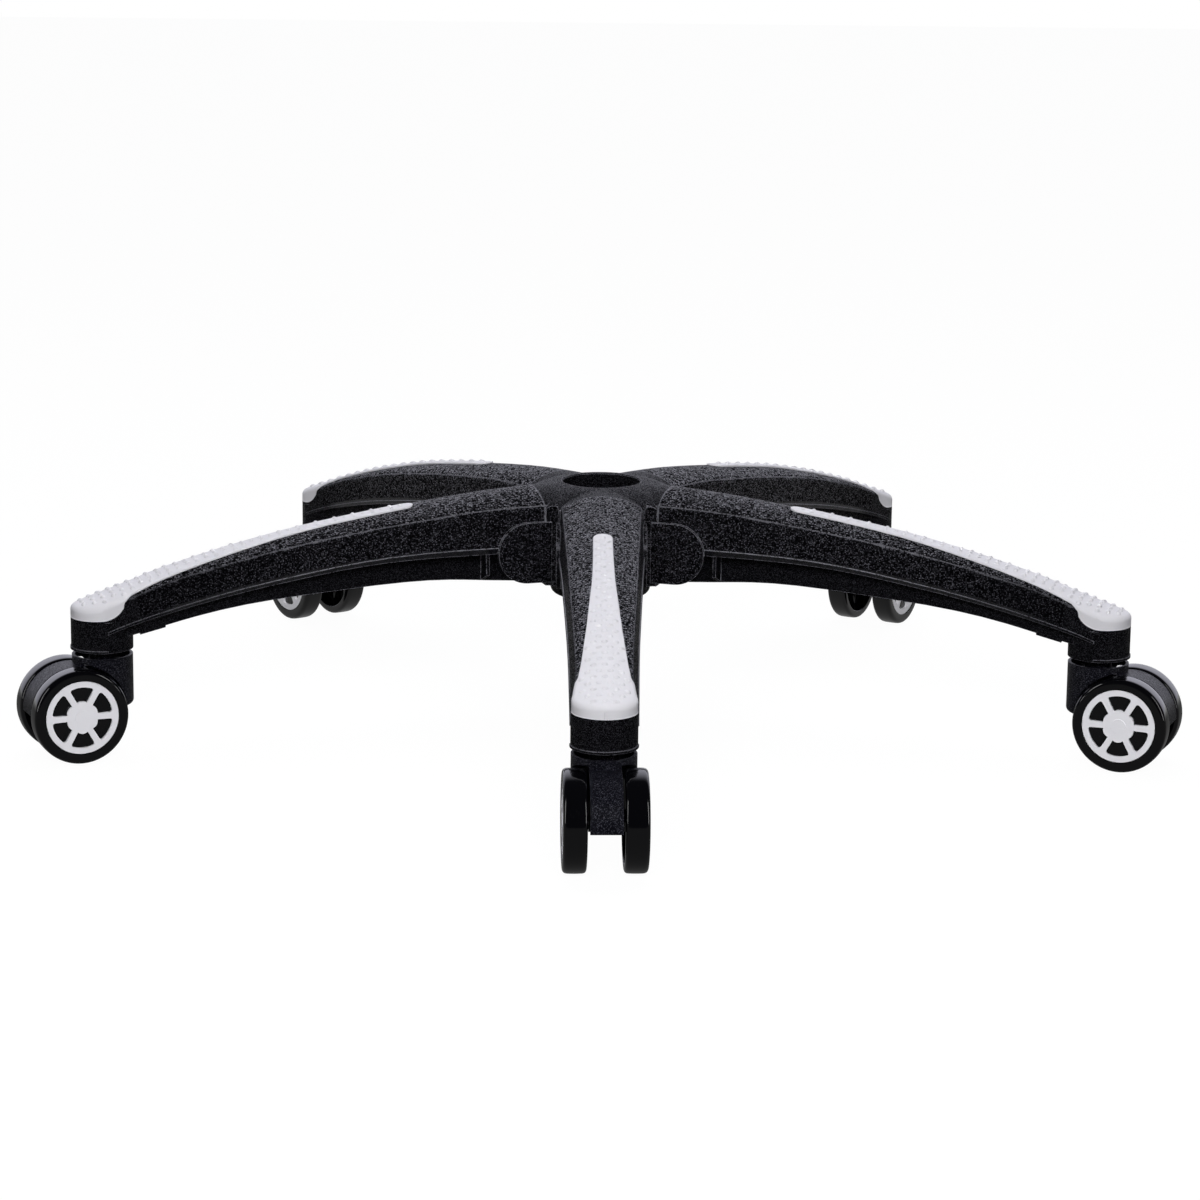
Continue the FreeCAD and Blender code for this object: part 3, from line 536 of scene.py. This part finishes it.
def mesh_piece(name, points, faces, look, body):
    """An object at the origin from an (n, 3) array of points and an (m, 4) array of quads."""
    mesh = bpy.data.meshes.new(name)
    mesh.vertices.add(len(points))
    mesh.vertices.foreach_set("co", np.ascontiguousarray(points, dtype=np.float32).ravel())
    mesh.loops.add(faces.size)
    mesh.loops.foreach_set("vertex_index", faces.astype(np.int32).ravel())
    mesh.polygons.add(len(faces))
    mesh.polygons.foreach_set("loop_start", np.arange(0, faces.size, 4, dtype=np.int32))
    mesh.polygons.foreach_set("use_smooth", np.full(len(faces), True))
    mesh.update(calc_edges=True)
    mesh.validate()
    mesh.materials.append(look)
    piece = bpy.data.objects.new(name, mesh)
    scene.collection.objects.link(piece)
    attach(piece, body)
    return piece


print("mesh helpers ready")

# %% [markdown]
# ## Foot pads
# Each pad is a soft white moulding: a narrow tongue near the hub that widens to the full arm and
# wraps round the tip as a skirt. Its top follows the arm's crowned roof, which is a circular arc
# across the arm at every distance from the hub, so the same two lines, roof and shoulder, give the
# whole surface. The sheet is a grid of stations along the arm and of places across it, from the
# lower edge on one side over the top to the lower edge on the other.

# %% Lines that shape an arm's top
roof_line = np.array([(24, 157.0), (46, 155.7), (78, 153.3), (122, 148.2), (151, 144.3), (198, 136.6),
                      (231, 129.4), (255, 123.6), (290, 113.4), (324, 102.2), (344, 95.6), (356, 91.4)])
shoulder_line = np.array([(24, 149.2), (45, 148.0), (83, 146.7), (111, 143.8), (156, 138.0), (212, 129.0),
                          (260, 118.4), (288, 111.2), (316, 101.0), (344, 90.8), (356, 86.4)])
shoulder_half = np.array([(24, 26.3), (42, 26.0), (217, 19.9), (282, 17.2), (304, 16.7), (314, 17.1),
                          (324, 18.3), (333, 19.1), (356, 19.3)])
tongue_half = np.array([(120, 6.0), (134, 6.0), (171, 6.3), (202, 7.0), (229, 8.5), (255, 10.0),
                        (277, 11.6), (299, 13.5), (308, 14.7), (311.5, 15.3), (313.5, 16.2),
                        (315.5, 17.2), (324, 18.3), (333, 19.1), (340, 19.3), (360, 19.3)])
skirt_line = np.array([(305.8, 107.0), (310.6, 105.7), (313.6, 103.3), (315.7, 100.6), (316.7, 98.0),
                       (317.0, 95.9), (318.0, 94.0), (320.6, 91.8), (324.5, 89.7), (329.3, 88.6),
                       (360.0, 88.1)])


def along_line(line, r):
    """Cubic through a line's points with the slope of each point's two neighbours, for an array of r."""
    xs, ys = line[:, 0], line[:, 1]
    slopes = np.gradient(ys, xs)
    slopes[1:-1] = (ys[2:] - ys[:-2]) / (xs[2:] - xs[:-2])
    i = np.clip(np.searchsorted(xs, r, side="right") - 1, 0, len(xs) - 2)
    span = xs[i + 1] - xs[i]
    t = (r - xs[i]) / span
    return ((2 * t**3 - 3 * t**2 + 1) * ys[i] + (t**3 - 2 * t**2 + t) * span * slopes[i]
            + (3 * t**2 - 2 * t**3) * ys[i + 1] + (t**3 - t**2) * span * slopes[i + 1])


def crown_height(r, across, lift):
    """Height of the crowned roof: an arc over both shoulders and the roof line, raised by lift."""
    roof = along_line(roof_line, r) + lift
    shoulder = along_line(shoulder_line, r) + lift
    half = along_line(shoulder_half, r)
    rise = roof - shoulder
    radius = (half**2 + rise**2) / (2 * rise)
    return roof - radius + np.sqrt(np.maximum(radius**2 - across**2, 0.0))


print("roof at the tip:", round(float(crown_height(np.array([340.0]), 0.0, 0.0)[0]), 2), "mm")

# %% [markdown]
# The outline in plan is the tongue's half width, closed by a half circle at each end. Stations are
# spaced by the angle round those half circles, so that both ends close on an upright line. The edge
# of the top rolls over with a radius that grows from half a millimetre on the tongue to 2.5 mm at
# the tip, which is what gives the tip its soft pale rim.

# %% Sheet of one pad
pad_proud = 1.0
pad_wall = 2.0
pad_start_r = 126.7
tongue_end_half = 6.0
tongue_centre_r = pad_start_r + tongue_end_half
tongue_sink = 1.6
tip_r = 19.3
tongue_roll = 0.5
tip_roll = 2.5
roll_change_r = (306.0, 322.0)


def pad_half(r):
    """Half width of the pad in plan at distance r, with round ends."""
    half = along_line(tongue_half, r)
    start = np.sqrt(np.maximum(tongue_end_half**2 - (r - pad_start_r - tongue_end_half) ** 2, 0.0))
    half = np.where(r < tongue_centre_r, np.minimum(start, half), half)
    end = np.sqrt(np.maximum(tip_r**2 - (r - stem_circle_r) ** 2, 0.0))
    return np.where(r > stem_circle_r, np.minimum(end, half), half)


def edge_radius(r):
    """Radius of the rolled edge: small on the tongue, large round the tip."""
    start, end = roll_change_r
    t = np.clip((r - start) / (end - start), 0.0, 1.0)
    return tongue_roll + (tip_roll - tongue_roll) * t * t * (3 - 2 * t)


def edge_distance(r, across):
    """How far a point of the top lies inside the outline."""
    inside = pad_half(r) - np.abs(across)
    round_tip = tip_r - np.hypot(np.maximum(r - stem_circle_r, 0.0), across)
    round_start = tongue_end_half - np.hypot(np.minimum(r - tongue_centre_r, 0.0), across)
    inside = np.where(r > stem_circle_r, round_tip, inside)
    return np.maximum(np.where(r < tongue_centre_r, round_start, inside), 0.0)


def pad_top(r, across):
    """Top of the pad: the crowned roof, rolled down along the outline by a quarter circle."""
    radius = edge_radius(r)
    reach = np.clip(radius - edge_distance(r, across), 0.0, radius)
    return crown_height(r, across, pad_proud) - radius + np.sqrt(radius**2 - reach**2)


def pad_foot(r):
    """Lower edge of the pad: just under the roof on the tongue, along the skirt's S-line at the tip."""
    skirt_start = skirt_line[0, 0]
    shallow = crown_height(r, pad_half(r), 0.0) - tongue_sink
    skirt = along_line(skirt_line, np.maximum(r, skirt_start))
    return np.where(r < skirt_start, shallow, np.minimum(shallow, skirt))


start_angle = np.linspace(-math.pi / 2, 0.0, 9)
end_angle = np.linspace(0.0, math.pi / 2, 30)
neck_r, flare_start_r, flare_end_r = 304.0, 312.0, 321.0
stations = np.concatenate([
    tongue_centre_r + tongue_end_half * np.sin(start_angle),
    np.linspace(tongue_centre_r, neck_r, 60)[1:],
    np.linspace(neck_r, flare_start_r, 10)[1:],
    np.linspace(flare_start_r, flare_end_r, 28)[1:],
    np.linspace(flare_end_r, stem_circle_r, 10)[1:],
    stem_circle_r + tip_r * np.sin(end_angle[1:]),
])
wall_steps = 5
top_steps = 37
spread = np.sin(np.linspace(-math.pi / 2, math.pi / 2, top_steps))


def pad_sheet(inset, drop):
    """
    Grid of the pad's outside, or of its inside where inset and drop are above zero.

    Across the arm it climbs one wall, runs over the top and goes down the other wall; inset draws the
    walls in and drop lowers the top, both in millimetres.
    """
    r = stations[:, None]
    half = pad_half(r)
    narrow = np.maximum(half - inset, 0.0)
    across = narrow * spread[None, :]
    top = pad_top(r, half * spread[None, :]) - drop
    foot = np.minimum(pad_foot(r), top[:, :1] - 0.05)
    climb = np.linspace(0.0, 1.0, wall_steps, endpoint=False)[None, :]
    left = foot + (top[:, :1] - foot) * climb
    z = np.concatenate([left, top, left[:, ::-1]], axis=1)
    y = np.concatenate([-narrow + 0 * climb, across, narrow + 0 * climb], axis=1)
    pull = np.where(r > stem_circle_r, inset, 0.0) * np.clip((r - stem_circle_r) / tip_r, 0.0, 1.0)
    x = np.broadcast_to(r - pull, y.shape)
    return np.stack([x, y, z], axis=-1)


def shell(outer, inner):
    """Closed wall between two grids of the same size: both sheets and the rim that joins their borders."""
    rows, columns = outer.shape[:2]
    count = rows * columns
    points = np.concatenate([outer.reshape(-1, 3), inner.reshape(-1, 3)])
    front = grid_faces(rows, columns)
    back = grid_faces(rows, columns, start=count)[:, ::-1]
    index = np.arange(count).reshape(rows, columns)
    loop = np.concatenate([index[0, :], index[1:, -1], index[-1, -2::-1], index[-2:0:-1, 0]])
    following = np.roll(loop, -1)
    rim = np.stack([loop, loop + count, following + count, following], axis=1)
    return points, np.concatenate([front, back, rim])


outer_sheet = pad_sheet(0.0, 0.0)
inner_sheet = pad_sheet(pad_wall, pad_wall)
pad_points, pad_faces = shell(outer_sheet, inner_sheet)
print("pad sheet", outer_sheet.shape, "lowest", round(float(pad_points[:, 2].min()), 2))

# %% [markdown]
# ## Studs
# The pads carry rows of small studs so that a shoe doesn't slip. The rows lie 6 mm apart and
# alternate: even rows have a stud on the middle line, odd rows straddle it. Each stud is a low cone
# with a rounded top, wider across the arm than along it. It is made once as a small polar grid and
# repeated for every place that lies far enough inside the outline.

# %% One stud and the places of all studs on a pad
stud_r = 1.75
stud_h = 1.30
stud_widening = 1.25
stud_sink = 0.25
row_pitch = 6.03
side_pitch = 6.5
first_row_r = 340.0
row_count = 36
side_places = np.arange(-3, 4)
stud_margin = 1.3

ring = np.linspace(0.0, 1.0, 6)
sides = 14
turns = np.arange(sides) * 2 * math.pi / sides
profile_r = stud_r * (1 - ring)
profile_z = stud_h * (1 - (1 - ring) ** 1.35) * (1 - 0.12 * ring) - stud_sink * (ring < 0.01)
cone = np.stack([profile_r[:, None] * np.cos(turns), profile_r[:, None] * np.sin(turns) * stud_widening,
                 profile_z[:, None] + 0 * turns], axis=-1)
stud_faces = grid_faces(len(ring), sides, close_columns=True)

row_grid, column_grid = np.meshgrid(np.arange(row_count), side_places, indexing="ij")
stud_along = first_row_r - row_pitch * row_grid
stud_across = side_pitch * (column_grid + 0.5 * (row_grid % 2))
clear = edge_distance(stud_along, stud_across) > stud_margin + stud_r * 0.7
keep = clear & (stud_along > tongue_centre_r)
stud_along, stud_across = stud_along[keep], stud_across[keep]
stud_base = pad_top(stud_along, stud_across)
probe = 0.4
rise_along = pad_top(stud_along + probe, stud_across) - pad_top(stud_along - probe, stud_across)
rise_across = pad_top(stud_along, stud_across + probe) - pad_top(stud_along, stud_across - probe)
slope_along = rise_along / (2 * probe)
slope_across = rise_across / (2 * probe)
local = cone.reshape(-1, 3)
studs = np.stack([
    stud_along[:, None] + local[None, :, 0] - slope_along[:, None] * local[None, :, 2],
    stud_across[:, None] + local[None, :, 1] - slope_across[:, None] * local[None, :, 2],
    stud_base[:, None] + slope_along[:, None] * local[None, :, 0]
    + slope_across[:, None] * local[None, :, 1] + local[None, :, 2],
], axis=-1)
stud_count = len(stud_along)
offsets = (np.arange(stud_count) * len(local))[:, None, None] + len(pad_points)
all_stud_faces = (stud_faces[None] + offsets).reshape(-1, 4)
print("studs on a pad:", stud_count)

# %% [markdown]
# The white pad is a soft plastic: a satin surface with a faint lavender cast under the studio light,
# and a little light that passes just under the surface.

# %% White pad finish and the five pads
white_pad, tree, shader = new_look("white_pad", (0.735, 0.728, 0.770), 0.50, 0.3)
shader.inputs["Subsurface Weight"].default_value = 0.08
shader.inputs["Subsurface Radius"].default_value = (0.0012, 0.0011, 0.0010)
place = object_coordinates(tree)
add_bump(tree, shader, noise(tree, place, 1500.0, 2.0, 0.6), 0.25, 0.00006)
shade = blend(tree, noise(tree, place, 45.0), (0.690, 0.684, 0.722), (0.730, 0.724, 0.760), "RGBA")
tree.links.new(shade, shader.inputs["Base Color"])

points = np.concatenate([pad_points, studs.reshape(-1, 3)])
faces = np.concatenate([pad_faces, all_stud_faces])
for k in range(arm_count):
    turned = placed(points, arm_angle(k))
    pad = mesh_piece(f"studded_pad_{k + 1}", turned, faces, white_pad, "base")
    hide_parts(f"foot_pad_{k + 1}")
print("pads made, faces each:", len(faces))

# %% [markdown]
# ## Wheels
# Each wheel is a turned shape: a crowned tread with well rounded edges, a flat glossy face with a
# seat for the white cap, and on the inner side a hollow with a hub tube and ribs. The profile is a
# list of corners with a radius each; an arc of a few points stands for every rounded corner, and the
# profile is carried round the axle.

# %% Rounded profile and revolve
corner_steps = 6
wheel_sides = 128


def rounded_profile(corners):
    """
    Closed outline with rounded corners: corners are (distance from the axis, place along it, radius).

    Each corner is replaced by a curve between the two points that lie its radius away along its two
    sides, a quadratic with the corner as its control point.
    """
    corner = np.array([c[:2] for c in corners], float)
    radius = np.array([c[2] for c in corners], float)
    before = np.roll(corner, 1, axis=0) - corner
    after = np.roll(corner, -1, axis=0) - corner
    before_len = np.linalg.norm(before, axis=1)
    after_len = np.linalg.norm(after, axis=1)
    cut = np.minimum(radius, 0.48 * np.minimum(before_len, after_len))[:, None]
    start = corner + before / before_len[:, None] * cut
    finish = corner + after / after_len[:, None] * cut
    t = np.linspace(0.0, 1.0, corner_steps)[None, :, None]
    curve = (1 - t) ** 2 * start[:, None] + 2 * t * (1 - t) * corner[:, None] + t**2 * finish[:, None]
    return curve.reshape(-1, 2)


def revolved(profile):
    """Carry a closed (distance, place) outline round the axis; x and y across the axis, z along it."""
    turns = np.arange(wheel_sides) * 2 * math.pi / wheel_sides
    x = profile[None, :, 0] * np.cos(turns)[:, None]
    y = profile[None, :, 0] * np.sin(turns)[:, None]
    z = np.broadcast_to(profile[None, :, 1], x.shape)
    return np.stack([x, y, z], axis=-1).reshape(-1, 3), grid_faces(wheel_sides, len(profile), True, True)


wheel_r = 30.0
wheel_inner = 10.6
wheel_outer = 24.4
rim_inner_r = 24.6
wheel_hub_r = 6.4
wheel_hub_end = 9.65
wheel_bore_r = 3.05
cap_r = 23.0
cap_seat = 2.2
wheel_web = 3.2
web_place = wheel_outer - cap_seat - wheel_web
tread_crown = 0.25
tread_edge = 3.0
wheel_corners = [
    (wheel_r - tread_crown, wheel_inner, tread_edge),
    (wheel_r, (wheel_inner + wheel_outer) / 2, tread_edge),
    (wheel_r - tread_crown, wheel_outer, tread_edge),
    (cap_r + 0.2, wheel_outer, 0.35),
    (cap_r + 0.03, wheel_outer - cap_seat, 0.1),
    (wheel_bore_r, wheel_outer - cap_seat, 0.1),
    (wheel_bore_r, wheel_hub_end, 0.3),
    (wheel_hub_r, wheel_hub_end, 0.5),
    (wheel_hub_r + 0.3, web_place, 1.0),
    (rim_inner_r - 0.6, web_place, 1.2),
    (rim_inner_r, wheel_inner, 0.5),
]
wheel_points, wheel_faces = revolved(rounded_profile(wheel_corners))
print("wheel points", len(wheel_points))

# %% [markdown]
# The ribs on the inner side are thin plates from the hub tube to the rim. A plate is a short grid
# carried round a rectangle, closed at both ends inside the tube and the rim, where nothing shows.

# %% Ribs on the inner side of a wheel
rib_count = 6
rib_half_t = 0.8
rib_depth = 4.0


def plate(x0, x1, half, z0, z1):
    """Box as a closed grid: a rectangle carried from x0 to x1, with both ends drawn in to a line."""
    loop = np.array([(-half, z0), (half, z0), (half, z1), (-half, z1)])
    middle = loop.mean(axis=0)
    shape = np.stack([middle + 0 * loop, loop, loop, middle + 0 * loop])
    x = np.array([x0, x0, x1, x1])[:, None, None] + np.zeros((4, 4, 1))
    return np.concatenate([x, shape], axis=-1).reshape(-1, 3), grid_faces(4, 4, close_columns=True)


rib_low = web_place - rib_depth
rib_points, rib_faces = plate(wheel_hub_r - 0.5, rim_inner_r - 0.2, rib_half_t, rib_low, web_place + 0.4)
wheel_parts = [(wheel_points, wheel_faces)]
for i in range(rib_count):
    a = 2 * math.pi * (i + 0.5) / rib_count
    spin = np.array([[math.cos(a), math.sin(a), 0], [-math.sin(a), math.cos(a), 0], [0, 0, 1]])
    wheel_parts.append((rib_points @ spin, rib_faces))


def joined(parts):
    """Several (points, faces) pairs as one."""
    starts = np.cumsum([0] + [len(p) for p, _ in parts[:-1]])
    faces = [f + start for (_, f), start in zip(parts, starts)]
    return np.concatenate([p for p, _ in parts]), np.concatenate(faces)


one_wheel = joined(wheel_parts)
print("wheel faces", len(one_wheel[1]))

# %% [markdown]
# ## Hub caps
# The white cap is one disc with six windows between its spokes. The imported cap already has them, so a
# merged copy of it with a small bevel gives the real thing's softened edges. The copy's spokes are
# also made slimmer, which opens its windows a little.

# %% Gloss black, cap white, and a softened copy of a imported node
cap_edge = 0.25 * mm
cap_disc_edge = 7.0 * mm
spoke_slimming = 0.85 * mm
same_point = 0.004 * mm

wheel_gloss, tree, shader = new_look("wheel_gloss", (0.0008, 0.0008, 0.0014), 0.10, 0.5)
shader.inputs["Coat Weight"].default_value = 0.15
shader.inputs["Coat Roughness"].default_value = 0.04
place = object_coordinates(tree)
smear = noise(tree, place, 38.0, 3.0, 0.55)
tree.links.new(calc(tree, "MULTIPLY_ADD", smear, 0.10, 0.06), shader.inputs["Roughness"])
add_bump(tree, shader, noise(tree, place, 160.0, 2.0), 0.05, 0.00008)

cap_white, tree, shader = new_look("cap_white", (0.90, 0.895, 0.94), 0.30, 0.5)
shader.inputs["Subsurface Weight"].default_value = 0.05
shader.inputs["Subsurface Radius"].default_value = (0.001, 0.001, 0.001)
place = object_coordinates(tree)
add_bump(tree, shader, noise(tree, place, 1800.0), 0.12, 0.00004)
patchy = noise(tree, place, 70.0)
tree.links.new(calc(tree, "MULTIPLY_ADD", patchy, 0.10, 0.26), shader.inputs["Roughness"])


def softened_copy(source, name, look, body, radius):
    """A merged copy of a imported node's mesh with its sharp edges bevelled by a radius in metres."""
    mesh = node[source].data.copy()
    mesh.name = name
    mesh.materials.clear()
    mesh.materials.append(look)
    piece = bpy.data.objects.new(name, mesh)
    scene.collection.objects.link(piece)
    weld = piece.modifiers.new("weld", "WELD")
    weld.merge_threshold = same_point
    bevel = piece.modifiers.new("bevel", "BEVEL")
    bevel.width = radius
    bevel.segments = 2
    bevel.limit_method = "ANGLE"
    bevel.angle_limit = math.radians(50)
    bevel.use_clamp_overlap = True
    bevel.harden_normals = True
    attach(piece, body)
    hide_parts(source)
    return piece


def slimmer_spokes(piece, centre, axis, slimming):
    """
    Move the sides of a cap's six spokes towards the spokes' middle lines.

    Every point turns about the axle by slimming / r * sin(6 a), where a is its angle from straight up:
    nothing at the middle of a window or of a spoke, most between them, and none in the disc or rim.
    """
    mesh = piece.data
    flat = np.empty(len(mesh.vertices) * 3, dtype=np.float32)
    mesh.vertices.foreach_get("co", flat)
    out_way = np.array(axis)
    level = np.cross(out_way, (0.0, 0.0, 1.0))
    up = np.cross(level, out_way)
    place = flat.reshape(-1, 3) - np.array(centre)
    side, rise, depth = place @ level, place @ up, place @ out_way
    r = np.hypot(side, rise)
    angle = np.arctan2(side, rise)
    turn = np.where(r > cap_disc_edge, slimming / np.maximum(r, cap_disc_edge), 0.0)
    angle = angle + turn * np.sin(6 * angle)
    r_side, r_rise = r * np.sin(angle), r * np.cos(angle)
    moved = r_side[:, None] * level + r_rise[:, None] * up + depth[:, None] * out_way + np.array(centre)
    mesh.vertices.foreach_set("co", moved.astype(np.float32).ravel())
    mesh.update()


print("finishes ready")

# %% [markdown]
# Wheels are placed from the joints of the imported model: a wheel's spin joint gives its centre and
# the direction of its axle, so each wheel sits exactly where its own joint turns it.

# %% Ten wheels and ten caps
joint = {j["name"]: j for j in frame["joints"]}


def on_axle(points, centre, axis, outward):
    """Turn points made along +Z so that +Z lies along the axle, outwards, and put them at its centre."""
    out_way = np.array(axis) * outward
    level = np.cross(out_way, (0.0, 0.0, 1.0))
    basis = np.stack([level, np.cross(out_way, level), out_way])
    return points * mm @ basis + np.array(centre)


for i in range(1, arm_count + 1):
    for letter, outward in (("a", 1), ("b", -1)):
        spin = joint[f"wheel_spin_{i}{letter}"]
        body = f"wheel_{i}{letter}"
        points = on_axle(one_wheel[0], spin["pos_m"], spin["axis"], outward)
        name = f"gloss_wheel_{i}{letter}"
        tyre = mesh_piece(name, points, one_wheel[1], wheel_gloss, body)
        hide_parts(body)
        name = f"white_cap_{i}{letter}"
        cap = softened_copy(f"hub_cap_{i}{letter}", name, cap_white, body, cap_edge)
        slimmer_spokes(cap, spin["pos_m"], spin["axis"], spoke_slimming)
print("wheels and caps placed")
